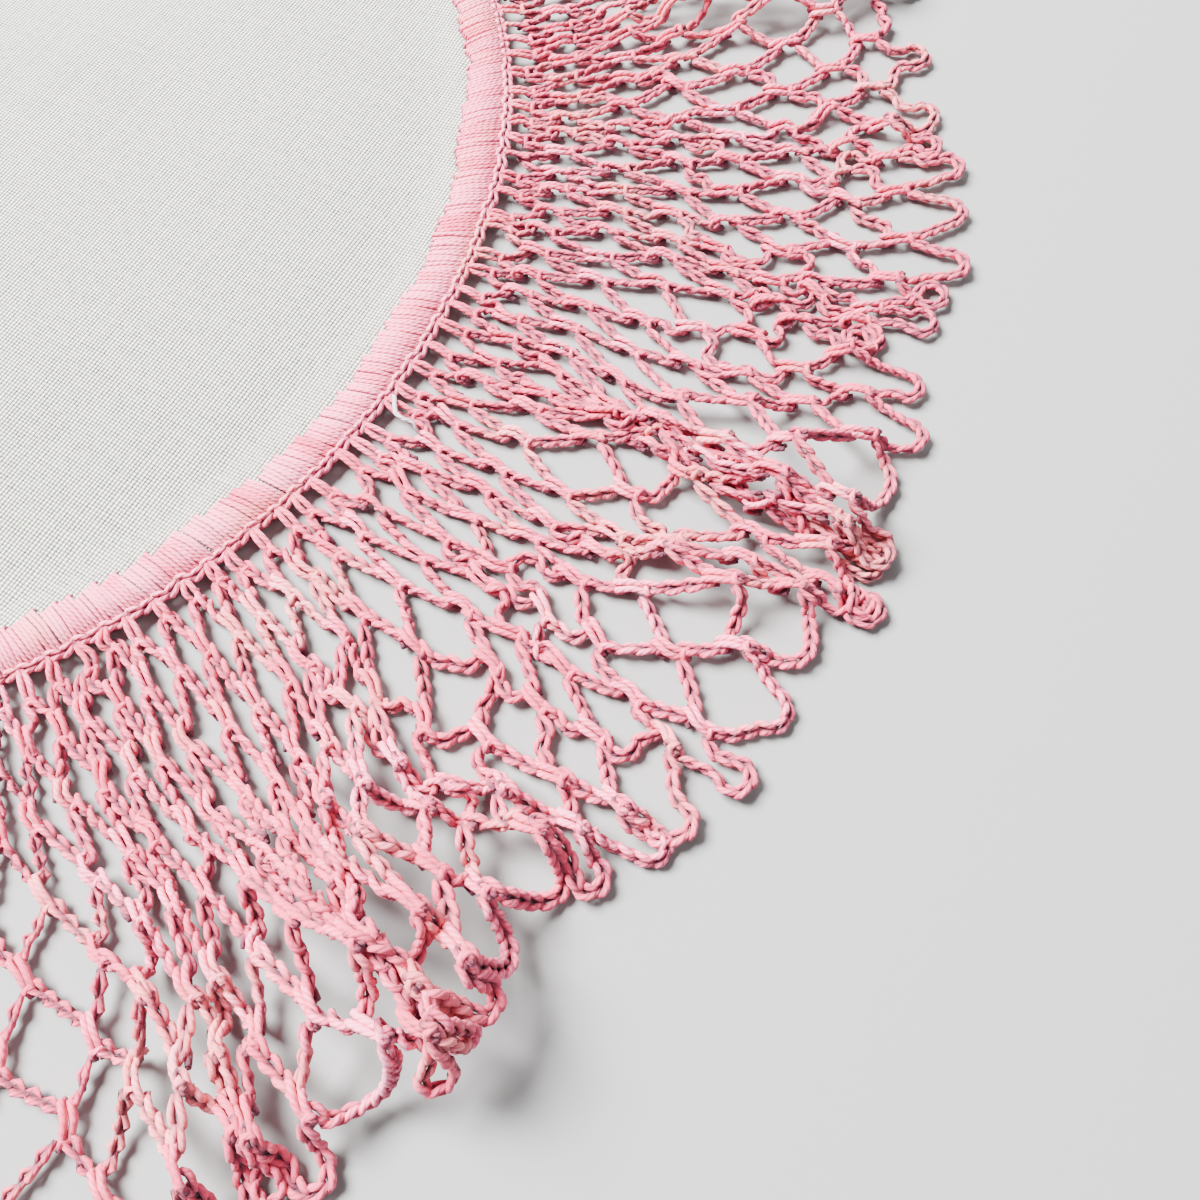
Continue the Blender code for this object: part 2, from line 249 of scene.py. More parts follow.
SHIFTED_ROUNDS = range(3, 7)
FOOT_LINK = 0.62  # length of the stitch that a knot takes in, over the others'
BEND_LEAST = 1.75  # stitches that points two stitches apart keep between them
FOOT_BEND_LEAST = 1.0  # and beside the knot that takes the loop in
BEND_STIFF = 0.35
# Least distance from what a knot takes in to the first stitches that leave its bar
FIRST_LEAST = np.hypot(ROUNDS[0].radius + STITCH * 0.92 - RIDGE_RADIUS, 0.5)
KNOT_LEAST = (PRONG + STITCH) * 0.95
KNOT_STIFF = 0.5
# Springs of a knot. Place before or after the loop's foot, left or right end of the bar, length
# over a prong's, stiffness
KNOT_LINKS = [(0, 0, 1.0, 1.0), (1, 0, 1.05, 1.0), (1, 1, 1.1, 0.6), (0, 1, 1.2, 0.3)]


class Net:
    """The net as points in millimetres: two ends of each knot's bar, and each loop's stitches.

    left and right hold, for each round, the bar ends of its knots. loops holds, for each round,
    a row of points for each loop: from the right end of one knot to the left end of the next.
    """

    def __init__(self, draws):
        self.points = np.zeros((0, 3))
        self.first = draws.normal(0, FIRST_UNEVEN, COLUMNS)
        angle = column_angle(columns_of(0) + self.first, RIDGE_RADIUS)
        self.anchors = self.add(polar(angle, RIDGE_INNER, ANCHOR_HEIGHT))
        self.left, self.right, self.loops, self.foot, self.lengths = [], [], [], [], []
        for index, ring in enumerate(ROUNDS):
            self.add_bars(index, ring, draws)
        for index, ring in enumerate(ROUNDS):
            self.add_loops(index, ring, draws)

    def add(self, points):
        first = len(self.points)
        self.points = np.concatenate([self.points, points])
        return np.arange(first, first + len(points))

    def add_bars(self, index, ring, draws):
        column = columns_of(index)
        ruffled = raised_share(fold_height(column_angle(column, ring.radius), ring.radius))
        column += draws.normal(0, COLUMN_UNEVEN, COLUMNS) * (1 + RUFFLED_COLUMN * ruffled)
        if index == 0:
            column += self.first
        uneven = draws.normal(0, RADIUS_UNEVEN, COLUMNS) * (1 + RUFFLED_RADIUS * ruffled)
        drift = np.cumsum(draws.normal(0, 1, COLUMNS))
        drift -= np.linspace(0, drift[-1], COLUMNS)
        average = np.ones(DRIFT_RUN) / DRIFT_RUN
        drift -= np.convolve(np.tile(drift, 3), average, "same")[COLUMNS:2 * COLUMNS]
        share = min(1, (index + 1) / UNEVEN_ROUNDS)
        radius = ring.radius + (uneven + DRIFT * drift) * share
        angle = column_angle(column, radius)
        reach = radius + rim_draw(angle, radius)
        half = np.degrees(BAR / 2 / reach)
        lift = fold_height(angle, reach) + BAR_LIFT
        lift += np.abs(draws.normal(0, RUFFLED_LIFT, COLUMNS)) * ruffled
        shift = np.degrees(BAR_SHIFT / reach)
        self.left.append(self.add(polar(angle - shift + half, reach, lift)))
        self.right.append(self.add(polar(angle - shift - half, reach, lift)))

    def add_loops(self, index, ring, draws):
        start = self.points[self.right[index]]
        ends = np.roll(self.left[index], -1)
        end = self.points[ends]
        if is_rim(index):
            foot = (start + end) / 2
            draw = rim_draw(angle_of(foot), radius_of(foot))
            uneven = draws.normal(0, RIM_UNEVEN, COLUMNS)
            reach = np.maximum(RIM_REACH + RIM_FOLLOW * draw + uneven, RIM_LEAST)
            ruffled = raised_share(foot[:, 2])[:, None]
            foot = foot + draws.normal(0, 1, (COLUMNS, 3)) * RIM_SHIFT * (1 + ruffled)
        else:
            foot = (self.points[self.left[index + 1]] + self.points[self.right[index + 1]]) / 2
            reach = np.full(COLUMNS, -PRONG)
        outwards = (1 + reach / radius_of(foot))[:, None]
        foot = np.concatenate([foot[:, :2] * outwards, foot[:, 2:]], axis=1)
        middle = np.full(COLUMNS, (ring.stitches - 1) // 2)
        if index in SHIFTED_ROUNDS:
            middle += draws.choice(FOOT_SHIFTS, COLUMNS)
        place = middle + 0.5
        rows = [self.right[index]]
        for step in range(1, ring.stitches):
            down = np.minimum(step / place, 1)[:, None]
            back = np.maximum((step - place) / (ring.stitches - place), 0)[:, None]
            point = start + (foot - start) * down + (end - foot) * back
            rows.append(self.add(point + draws.normal(0, POINT_UNEVEN, (COLUMNS, 3))))
        rows.append(ends)
        self.loops.append(np.stack(rows, axis=1))
        self.foot.append(middle)
        length = np.clip(draws.normal(1, LENGTH_UNEVEN, COLUMNS), *LENGTH_RANGE)
        self.lengths.append(STITCH * length)

    def feet(self, index):
        """The two points at the foot of each loop of a round, which the knot below takes in."""
        loops, middle = self.loops[index], self.foot[index]
        row = np.arange(COLUMNS)
        return loops[row, middle], loops[row, middle + 1]

    def links(self):
        """Pairs of points held at a length: from, to, length, stiffness."""
        rows = []
        for index, (loops, length) in enumerate(zip(self.loops, self.lengths)):
            for step, (a, b) in enumerate(zip(loops.T[:-1], loops.T[1:])):
                taken = (step == self.foot[index]) & (not is_rim(index))
                rows.append((a, b, np.where(taken, length * FOOT_LINK, length), 1.0))
        for left, right in zip(self.left, self.right):
            rows.append((left, right, BAR, 1.0))
        for index, ends in enumerate(zip(self.left[1:], self.right[1:])):
            feet = self.feet(index)
            for foot, end, length, stiff in KNOT_LINKS:
                rows.append((feet[foot], ends[end], PRONG * length, stiff))
        return self.joined(rows)

    def bends(self):
        """Pairs two stitches apart, which a chain's stiffness keeps from folding shut."""
        rows = []
        for index, loops in enumerate(self.loops):
            for step in range(loops.shape[1] - 2):
                from_foot = np.abs(step + 0.5 - self.foot[index])
                loose = (from_foot > 1) | is_rim(index)
                least = np.where(loose, BEND_LEAST, FOOT_BEND_LEAST) * self.lengths[index]
                rows.append((loops[:, step], loops[:, step + 2], least, BEND_STIFF))
            if index == 0:
                before = after = self.anchors
                least = FIRST_LEAST
            else:
                before, after = self.feet(index - 1)
                least = KNOT_LEAST
            rows.append((after, loops[:, 1], least, KNOT_STIFF))
            rows.append((before, np.roll(loops[:, -2], 1), least, KNOT_STIFF))
        return self.joined(rows)

    @staticmethod
    def joined(rows):
        full = [(a, b, np.full(len(a), 1.0) * c, np.full(len(a), d)) for a, b, c, d in rows]
        return [np.concatenate(part) for part in zip(*full)]


def pair_keys(one, two, count):
    """One number for each pair of points, whichever way round it is."""
    return np.unique(np.minimum(one, two) * count + np.maximum(one, two))


def close_pairs(points, reach, apart):
    """Pairs of points nearer than reach, found on a grid, without those that apart holds."""
    count = len(points)
    cells = np.floor(points[:, :2] / reach).astype(int)
    cells -= cells.min(axis=0) - 1
    wide = cells[:, 0].max() + 2
    key = cells[:, 0] + cells[:, 1] * wide
    order = np.argsort(key, kind="stable")
    ranked = key[order]
    found = []
    for step in (0, 1, wide - 1, wide, wide + 1):
        low = np.searchsorted(ranked, key + step, "left")
        many = np.searchsorted(ranked, key + step, "right") - low
        one = np.repeat(np.arange(count), many)
        rank = np.arange(many.sum()) - np.repeat(np.cumsum(many) - many, many)
        other = order[np.repeat(low, many) + rank]
        keep = one < other if step == 0 else one != other
        found.append(np.stack([one[keep], other[keep]]))
    one, other = np.concatenate(found, axis=1)
    keep = np.linalg.norm(points[one] - points[other], axis=1) < reach
    pairs = np.setdiff1d(pair_keys(one[keep], other[keep], count), apart)
    return pairs // count, pairs % count


def add_at(points, index, moves, sign):
    for axis in range(3):
        points[:, axis] += sign * np.bincount(index, moves[:, axis], minlength=len(points))


def span(points, one, two):
    """The ways from some points to others, and their lengths."""
    gap = points[two] - points[one]
    return gap, np.linalg.norm(gap, axis=1) + 1e-9


def press_apart(points, move, one, two, least, share):
    """Adds to move what presses pairs of points apart that are nearer than their least distance."""
    gap, now = span(points, one, two)
    push = gap * (np.minimum((now - least) / now, 0) * share)[:, None]
    add_at(move, one, push, 1)
    add_at(move, two, push, -1)


SETTLE_ROUNDS = 260
NEAR_ROUNDS = 20  # from one search for chains that may touch to the next
NEAR_REACH = 2.4
SINK = 0.03  # how far the net sinks in a round
BAR_HOLD = [0.06, 0.06, 0.1]  # share of the way back to its place, in a round
SHAKE = 0.02  # in the first half of the rounds
PULLS = 3  # of the links in a round
SLACK_SHARE = 0.6  # stiffness of links that are too short, over the others'
PULL_SHARE = 1.6  # above 1, to settle in fewer rounds
TOUCH_SHARE = 0.3  # share of their overlap that touching chains move


def settle(net, draws):
    """Let the net's stitches pull to their lengths, press apart and sink onto the surface."""
    points = net.points
    count = len(points)
    bars = np.concatenate(net.left + net.right)
    aim = points[bars].copy()
    one, two, length, stiff = net.links()
    near, far, least, bend_stiff = net.bends()
    tied = pair_keys(np.append(one, near), np.append(two, far), count)
    free = np.ones(count)
    for fixed in (net.anchors, net.left[0], net.right[0]):
        free[fixed] = 0
    shares = np.maximum(free[one] + free[two], 1)
    used = np.maximum(np.bincount(one, minlength=count) + np.bincount(two, minlength=count), 1)
    for turn in range(SETTLE_ROUNDS):
        if turn % NEAR_ROUNDS == 0:
            left, right = close_pairs(points, NEAR_REACH, tied)
        points[:, 2] -= SINK * free
        points[bars] += (aim - points[bars]) * (BAR_HOLD * free[bars, None])
        if turn < SETTLE_ROUNDS / 2:
            points += draws.normal(0, SHAKE, points.shape) * free[:, None]
        for _ in range(PULLS):
            gap, now = span(points, one, two)
            excess = (now - length) / now * stiff
            excess = np.where(now < length, excess * SLACK_SHARE, excess) * PULL_SHARE / shares
            move = np.zeros_like(points)
            add_at(move, one, gap * (excess * free[one])[:, None], 1)
            add_at(move, two, gap * (excess * free[two])[:, None], -1)
            points += move / used[:, None]
        move = np.zeros_like(points)
        press_apart(points, move, near, far, least, bend_stiff / 2)
        press_apart(points, move, left, right, CHAIN_CLEAR, TOUCH_SHARE)
        points += move * free[:, None]
        points[:, 2] = np.maximum(points[:, 2], CHAIN_LIFT)


# ---- threads
# Points of a thread's path. Their columns are:
# along: in stitches for a chain, and in millimetres outwards from the loop that a knot takes in;
# across, up and the thread's radius: in millimetres;
# painted_shade: painted shade in the thread's colour, 1 deep inside the stitch;
# kept: 1 where the point is used in the coarser thread too.
CHAIN_LEG = [
    (-0.1, -0.08, -0.12, 0.25, 0.7, 1),
    (0.12, -0.14, 0.06, 0.28, 0.4, 0),
    (0.4, -0.28, 0.22, 0.31, 0, 0),
    (0.7, -0.45, 0.26, 0.33, 0, 1),
    (0.98, -0.53, 0.1, 0.32, 0.1, 0),
    (1.22, -0.42, -0.16, 0.29, 0.5, 0),
]
CHAIN_TIP = (1.36, 0.00, -0.38, 0.27, 1.0, 1)
CHAIN_LOWER = (0.45, 0.05, -0.50, 0.30, 0.2, 0)
LEG_BACK = [(along, -across, *rest) for along, across, *rest in reversed(CHAIN_LEG)]
CHAIN_STITCH = [*CHAIN_LEG, CHAIN_TIP, *LEG_BACK, CHAIN_LOWER]
PRONG_THREAD = [
    (0.75, -0.26, -0.62, 0.26, 1, 0),
    (-0.1, -0.36, -0.72, 0.29, 0.9, 0),
    (-0.8, -0.42, -0.42, 0.31, 0.6, 1),
    (-0.98, -0.43, 0.12, 0.32, 0.2, 0),
    (-0.6, -0.42, 0.54, 0.33, 0, 1),
    (0.1, -0.4, 0.7, 0.34, 0, 0),
    (0.85, -0.37, 0.58, 0.34, 0, 1),
    (1.55, -0.33, 0.38, 0.33, 0.1, 0),
    (2.25, -0.31, 0.14, 0.32, 0.3, 1),
    (3.05, -0.29, -0.3, 0.28, 0.9, 1),
]
FIRST_PRONG_THREAD = [
    (-1.3, -0.05, -0.55, 0.26, 1, 1),
    (-0.95, -0.08, -0.05, 0.28, 0.6, 0),
    (-0.6, -0.16, 0.3, 0.3, 0.3, 0),
    (0, -0.32, 0.44, 0.32, 0, 1),
    (0.7, -0.44, 0.46, 0.33, 0, 0),
    (1.35, -0.43, 0.34, 0.33, 0, 1),
    (2, -0.32, 0.12, 0.32, 0.3, 1),
    (3.05, -0.22, -0.3, 0.28, 0.9, 1),
]
BAR_THREAD = [
    (2.74, -0.5, -0.34, 0.27, 0.9, 1),
    (2.52, -0.58, 0, 0.3, 0.5, 0),
    (2.36, -0.38, 0.3, 0.33, 0.2, 1),
    (2.26, 0, 0.4, 0.34, 0.1, 0),
    (2.4, 0.38, 0.32, 0.33, 0.2, 1),
    (2.62, 0.6, 0.02, 0.3, 0.5, 0),
    (2.9, 0.52, -0.32, 0.27, 0.9, 1),
]
FINE_SIDES = 6
COARSE_SIDES = 4
COARSE_FULLER = 1.08  # radius of the coarser threads over that of the fine ones
FINE_ANGLE = -33
FINE_HALF_ANGLE = 37  # the threads are fine up to this far either side of it
ROUNDING = 0.25
GRIP = 0.52  # share by which a knot squeezes the chain that it takes in
GRIP_RUN = 0.9  # in stitches
LAST_REACH = 0.3  # a chain's last stitch reaches this far past its end, in stitches
BOW_PLACE = 1.0  # millimetres along a knot where its prongs bow most
BOW_RUN = 0.9
STITCH_CLEAR = 0.78  # from a stitch's middle to its threads' outer sides
SHADE_START = 1.05  # threads nearer than this share of it lie in shade
UNDER_SHADE = 0.8  # shade at the underside of a stitch
DEPTH_SHADE = 0.8  # painted shade where a table's painted_shade is 1
STEEP = 0.9  # upward share of a direction too steep to measure from +Z


def unit(vectors):
    return vectors / np.maximum(np.linalg.norm(vectors, axis=-1, keepdims=True), 1e-12)


def turned(one, two, turn):
    """Two directions that are square to each other, both turned by an angle from one to two."""
    cosine, sine = np.cos(turn), np.sin(turn)
    return one * cosine + two * sine, two * cosine - one * sine


def is_fine(angle):
    return np.abs(turn_between(angle, FINE_ANGLE)) < FINE_HALF_ANGLE


def along_curve(points, places):
    """Places along rows of points (rows, points, 3), on smooth curves through them, and tangents."""
    before = 2 * points[:, :1] - points[:, 1:2]
    after = 2 * points[:, -1:] - points[:, -2:-1]
    held = np.concatenate([before, points, after], axis=1)
    base = np.clip(np.floor(places).astype(int), 0, points.shape[1] - 2)
    t = (places - base)[None, :, None]
    a, b, c, d = (held[:, base + k] for k in range(4))
    slope_b, slope_c = (c - a) / 2, (d - b) / 2
    place = ((2 * t**3 - 3 * t**2 + 1) * b + (t**3 - 2 * t**2 + t) * slope_b
             + (3 * t**2 - 2 * t**3) * c + (t**3 - t**2) * slope_c)
    tangent = ((6 * t**2 - 6 * t) * b + (3 * t**2 - 4 * t + 1) * slope_b
               + (6 * t - 6 * t**2) * c + (3 * t**2 - 2 * t) * slope_c)
    return place, unit(tangent)


def chain_paths(points, twist, twist_rate, size, foot, grip):
    """The thread's path through each row of chain stitches, and the chain's middle line.

    twist: degrees about the chain. size: of the stitches' width, 1 for the full width.
    foot: the place along the chain where a knot squeezes it, by the share that grip gives.
    """
    stitches = points.shape[1] - 1
    along, across, up = np.tile(np.array(CHAIN_STITCH), (stitches, 1)).T[:3]
    places = np.repeat(np.arange(stitches), len(CHAIN_STITCH)) + along
    width = size[:, None] * (1 - grip * np.exp(-((places - foot[:, None]) / GRIP_RUN) ** 2))
    across = (across * width)[..., None]
    up = (up * width)[..., None]
    middle, tangent = along_curve(points, np.clip(places, 0, stitches + LAST_REACH))
    front = unit(np.array([0, 0, 1.0]) - tangent[..., 2:] * tangent)
    side = np.cross(tangent, front)
    turn = np.radians(twist[:, None] + twist_rate[:, None] * (places - stitches / 2))[..., None]
    front, side = turned(front, side, turn)
    return rounded(middle + side * across + front * up), middle


def rounded(paths):
    """Paths with their corners eased."""
    eased = paths.copy()
    eased[:, 1:-1] += ROUNDING * (paths[:, :-2] + paths[:, 2:] - 2 * paths[:, 1:-1])
    return eased


class Threads:
    """Gathers threads as tubes and joins them into one mesh."""

    def __init__(self):
        self.corners, self.faces, self.places, self.runs, self.painted_shades = [], [], [], [], []
        self.count = 0

    def add_table(self, paths, middle, table, run_start, fine, size):
        """Adds threads whose points follow a table, over and over.

        fine: True for threads that are near. size: of each thread, 1 for the table's radius.
        """
        full_table = np.array(table * (paths.shape[1] // len(table)), dtype=float)
        radius, painted_shade, kept = full_table.T[3:]
        radius, kept = size[:, None] * radius, kept > 0
        self.add(paths[fine], middle[fine], radius[fine], run_start[fine], painted_shade, FINE_SIDES)
        coarse = ~fine
        self.add(paths[coarse][:, kept], middle[coarse][:, kept],
                 radius[coarse][:, kept] * COARSE_FULLER, run_start[coarse], painted_shade[kept],
                 COARSE_SIDES)

    def add(self, paths, middle, radius, run_start, painted_shade, sides):
        """paths: (threads, points, 3) in millimetres. run_start: each thread's place on the ball.

        middle: the stitch's middle at each point, towards which the thread lies in shade.
        painted_shade: 0 to 1, painted shade for how far each point lies inside its stitch.
        """
        threads, points = paths.shape[:2]
        tangent = unit(np.gradient(paths, axis=1))
        normal = np.empty_like(paths)
        last = np.where(np.abs(tangent[:, 0, 2:]) < STEEP, [[0, 0, 1.0]], [[1.0, 0, 0]])
        for step in range(points):
            flat = last - (last * tangent[:, step]).sum(axis=1, keepdims=True) * tangent[:, step]
            last = unit(flat)
            normal[:, step] = last
        side = np.cross(tangent, normal)
        around = np.arange(sides) * 2 * pi / sides
        width = np.broadcast_to(radius, (threads, points))[..., None, None]
        ring = (normal[:, :, None] * np.cos(around)[:, None]
                + side[:, :, None] * np.sin(around)[:, None])
        corners = paths[:, :, None] + ring * width
        length = np.zeros((threads, points))
        length[:, 1:] = np.cumsum(np.linalg.norm(np.diff(paths, axis=1), axis=2), axis=1)
        self.join(corners, length, run_start, sides)
        # Painted shade: darker near the stitch's middle, on its underside and deep inside it, kept
        # in the painted_shade attribute
        clear = np.linalg.norm(corners - middle[:, :, None], axis=-1) / STITCH_CLEAR
        inner_painted_shade = np.clip(SHADE_START - clear, 0, 1)
        under = np.clip((middle[:, :, None, 2] - corners[..., 2]) / STITCH_CLEAR, 0, 1)
        inner_painted_shade = np.maximum(inner_painted_shade, under * UNDER_SHADE)
        deep = np.broadcast_to(painted_shade, (threads, points))[..., None]
        self.painted_shades.append(np.maximum(inner_painted_shade, deep * DEPTH_SHADE).ravel())

    def join(self, corners, length, run_start, sides):
        threads, points = length.shape
        index = self.count + np.arange(threads * points * sides).reshape(threads, points, sides)
        after = np.roll(index, -1, axis=2)
        walls = np.stack([index[:, :-1], after[:, :-1], after[:, 1:], index[:, 1:]], axis=-1)
        low, high = index[:, 0, ::-1], index[:, -1]
        caps = [end[:, [0, k, k + 1, k + 2]] for end in (low, high) for k in range(1, sides - 2, 2)]
        self.faces += [walls.reshape(-1, 4)] + caps
        u0 = np.broadcast_to(length[:, :-1, None], walls.shape[:-1])
        u1 = np.broadcast_to(length[:, 1:, None], walls.shape[:-1])
        v0 = np.broadcast_to(np.arange(sides) / sides, walls.shape[:-1])
        v1 = v0 + 1 / sides
        wall_places = np.stack([u0, v0, u0, v1, u1, v1, u1, v0], axis=-1).reshape(-1, 8)
        self.places.append(wall_places)
        self.places += [np.zeros((len(cap), 8)) for cap in caps]
        run = run_start[:, None, None] + np.broadcast_to(length[..., None], index.shape)
        self.runs.append(run.ravel())
        self.corners.append(corners.reshape(-1, 3))
        self.count += index.size

    def make(self, name, material):
        corners = np.concatenate(self.corners) * MM
        faces = np.concatenate(self.faces)
        mesh = bpy.data.meshes.new(name)
        mesh.vertices.add(len(corners))
        mesh.vertices.foreach_set("co", corners.astype(np.float32).ravel())
        mesh.loops.add(faces.size)
        mesh.loops.foreach_set("vertex_index", faces.astype(np.int32).ravel())
        mesh.polygons.add(len(faces))
        mesh.polygons.foreach_set("loop_start", np.arange(0, faces.size, 4, dtype=np.int32))
        mesh.update(calc_edges=True)
        layer = mesh.uv_layers.new(name="thread")
        layer.uv.foreach_set("vector", np.concatenate(self.places).astype(np.float32).ravel())
        runs, painted_shades = np.concatenate(self.runs) * MM, np.concatenate(self.painted_shades)
        for label, values in (("run", runs), ("painted_shade", painted_shades)):
            layer = mesh.attributes.new(label, "FLOAT", "POINT")
            layer.data.foreach_set("value", values.astype(np.float32))
        mesh.materials.append(material)
        mesh.shade_smooth()
        return add_object(name, mesh)


def add_object(name, data):
    item = bpy.data.objects.new(name, data)
    bpy.context.scene.collection.objects.link(item)
    return item


def add_shape(name, shape, material):
    mesh = bpy.data.meshes.new(name)
    shape.to_mesh(mesh)
    shape.free()
    mesh.materials.append(material)
    return add_object(name, mesh)


# ---- the net's knots and rounds
KNOT_PLACE = 0.75  # share of a bar's left end in the place of its knot
FIRST_TOP_OUT = 0.6  # from the ridge to where the first knots hang
FIRST_TOP_HEIGHT = 1.2
PRONG_STRETCH = (0.75, 1.3)  # a knot's length over its table's
PRONG_START = 4  # place of the prongs in their knot's thread
KNOT_TILT = 22  # degrees about the knot's length
KNOT_TWIST = 15  # degrees to a millimetre
KNOT_BOW = 0.34
PRONG_BOW = 0.07  # and by how much its two prongs differ
TUCK = 0.45  # a chain starts this far inwards of its knot's bar
CROWDED_SPACING = 5.0  # knots nearer than this crowd their chains
CROWDED_RUN = 1.4  # and do so fully where they are nearer by this
CROWDED_CHAIN = 0.17  # share by which crowded chains are narrower
CROWDED_THREAD = 0.07  # and by which their thread is thinner
CROWDED_TWIST = 50  # degrees that a crowded chain stands on edge
TWIST_SIDE = 0.3  # above 0 more of them turn one way
FREE_TWIST = 42  # how unevenly a chain with room is twisted, in degrees
CROWDED_EVEN = 22  # and how much less a crowded one is
TWIST_RATE = 9  # degrees to a stitch
THREAD_SHARE = 0.45  # share of a chain's fullness that its thread has
RAISED_FULLER = 0.12  # share by which chains are fuller where the net stands up
LOOP_THREAD = 56.0  # thread that one loop and its knot take, in millimetres


def knot_paths(thread, top, along, side, front, bow, twist, mirror=1):
    """A knot thread's path at each knot, and the knot's middle line.

    top: the middle of the loop that the knot takes in. bow: how far the thread bends sideways.
    twist: degrees about the knot to a millimetre of its length.
    """
    reach, across, up = np.array(thread).T[:3]
    bend = bow[:, None] * np.exp(-((reach - BOW_PLACE) / BOW_RUN) ** 2)
    centre = top[:, None] + reach[:, None] * along[:, None] + bend[..., None] * side[:, None]
    turn = np.radians(twist[:, None] * (reach - BOW_PLACE))[..., None]
    sideways, forwards = turned(side[:, None], front[:, None], turn)
    path = centre + mirror * across[:, None] * sideways + up[:, None] * forwards
    return rounded(path), centre


def crowding_of(net, index):
    """How crowded each knot of a round is by its neighbour, 0 to 1."""
    knots = net.points[net.left[index]]
    spacing = np.linalg.norm(np.roll(knots, -1, axis=0) - knots, axis=1)
    return np.clip((CROWDED_SPACING - spacing) / CROWDED_RUN, 0, 1)


def add_knots(threads, net, index, run, fine, size, draws):
    left = net.points[net.left[index]]
    right = net.points[net.right[index]]
    bar = left * KNOT_PLACE + right * (1 - KNOT_PLACE)
    if index == 0:
        top = polar(angle_of(bar), RIDGE_RADIUS + FIRST_TOP_OUT, FIRST_TOP_HEIGHT)
        prong = FIRST_PRONG_THREAD
    else:
        before, after = net.feet(index - 1)
        top = (net.points[before] + net.points[after]) / 2
        prong = PRONG_THREAD
    reach = np.linalg.norm(bar - top, axis=1, keepdims=True)
    along = unit(bar - top) * np.clip(reach / PRONG, *PRONG_STRETCH)
    top = bar - along * PRONG
    side = right - left
    side = unit(side - (side * unit(along)).sum(axis=1, keepdims=True) * unit(along))
    front = np.cross(side, unit(along))
    front *= np.where(front[:, 2:] < 0, -1, 1)
    tilt = np.radians(draws.normal(0, KNOT_TILT, COLUMNS))[:, None]
    side, front = turned(side, front, tilt)
    bow = draws.normal(0, KNOT_BOW, COLUMNS)
    twist = draws.normal(0, KNOT_TWIST, COLUMNS)
    for mirror in (1, -1):
        own_bow = bow + draws.normal(0, PRONG_BOW, COLUMNS)
        paths, middle = knot_paths(prong, top, along, side, front, own_bow, twist, mirror)
        threads.add_table(paths, middle, prong, run + PRONG_START, fine, size)
    paths, middle = knot_paths(BAR_THREAD, top, along, side, front, 0 * bow, twist)
    threads.add_table(paths, middle, BAR_THREAD, run, fine, size)


def build_net_rounds(material):
    draws = np.random.default_rng(11)
    net = Net(draws)
    settle(net, draws)
    pieces = []
    for index, loops in enumerate(net.loops):
        threads = Threads()
        crowding = crowding_of(net, index)
        side = np.sign(draws.normal(TWIST_SIDE, 1, COLUMNS))
        uneven = draws.normal(0, 1, COLUMNS) * (FREE_TWIST - CROWDED_EVEN * crowding)
        twist = side * CROWDED_TWIST * crowding + uneven
        twist_rate = draws.normal(0, TWIST_RATE, COLUMNS)
        points = net.points[loops]
        raised = raised_share(points[..., 2].mean(axis=1))
        angle = plain_angle(columns_of(index))
        full = fullness_at(angle) * (1 + RAISED_FULLER * raised)
        size = full * (1 - CROWDED_CHAIN * crowding)
        for end in (0, -1):
            points[:, end] -= unit(points[:, end] * [1, 1, 0]) * TUCK
        grip = 0 if is_rim(index) else GRIP
        paths, middle = chain_paths(points, twist, twist_rate, size, net.foot[index] + 0.5, grip)
        thread_size = (1 + (full - 1) * THREAD_SHARE) * (1 - CROWDED_THREAD * crowding)
        run = (index * COLUMNS + np.arange(COLUMNS)) * LOOP_THREAD
        threads.add_table(paths, middle, CHAIN_STITCH, run, is_fine(angle), thread_size)
        add_knots(threads, net, index, run, is_fine(angle), thread_size, draws)
        pieces.append(threads.make(f"net_round_{index + 1}", material))
    return pieces


# ---- heading
STRANDS = 1080
STRAND_GROUPS = (3, 4, 4, 5)  # strands that enter the linen in one straight step
GROUP_STEP = 0.65  # how far a group's last strand starts outwards of its first
GROUP_UNEVEN = 0.2  # and how uneven the groups' starts are
SLANT_UNEVEN = 0.12  # degrees
STRAND_UNEVEN = 0.05
ANGLE_UNEVEN = 0.02  # degrees
HEADING_SLANT = 0.85  # degrees from a strand's inner end to its outer end
STRAND_GATHER = 0.12  # share by which a group's strands close up at their outer ends
STRAND_LENGTH = 14.0  # thread that one strand takes, over and under
HEADING_THREAD = 0.252  # radius
BACK_THREAD = 1.1  # radius of a strand's back over that of its front
STRAND_SHADE_DROP = 0.34  # a strand is shaded towards a line this far below it
# Points of a strand's front and of its back. reach: outwards from where it enters the linen, up to
# the last point, which is at the ridge. rise: over STITCH_RISE, from the hem's face.
STITCH_RISE = 0.28
FRONT_REACHES = (-0.05, 0.25, 2.2)
FRONT_RISES = (-1.5, 0.7, 1.0, 0.3)
# painted shade at each point of the front, 1 where it enters the linen
FRONT_PAINTED_SHADE = (1, 0.35, 0, 0.5)
BACK_REACHES = (-0.05, 0.9)
BACK_RISES = (1.5, -1.0, -1.0)
# painted shade at each point of the back
BACK_PAINTED_SHADE = (0.5, 0, 0.5)
HOLE_RADIUS = 0.17  # of the dark plugs of painted shade that stand for the holes in the linen, beside each group
HOLE_HEIGHTS = (0.9, 1.215)
HOLE_SHIFT = 0.6  # strands from a group's first strand to its hole
HOLE_OUT = 0.02
RIDGE_STITCHES = 360
RIDGE_STITCH = 0.85  # width of the ridge's chain stitches over that of the net's
RIDGE_THREAD = 0.88  # and of their thread
RIDGE_LIFT = 0.1  # height of the chain's middle over the hem's face
RIDGE_UNEVEN = 0.12
RIDGE_TWIST = -20  # degrees
RIDGE_ARCS = 36
ARC_THREAD = 70.0


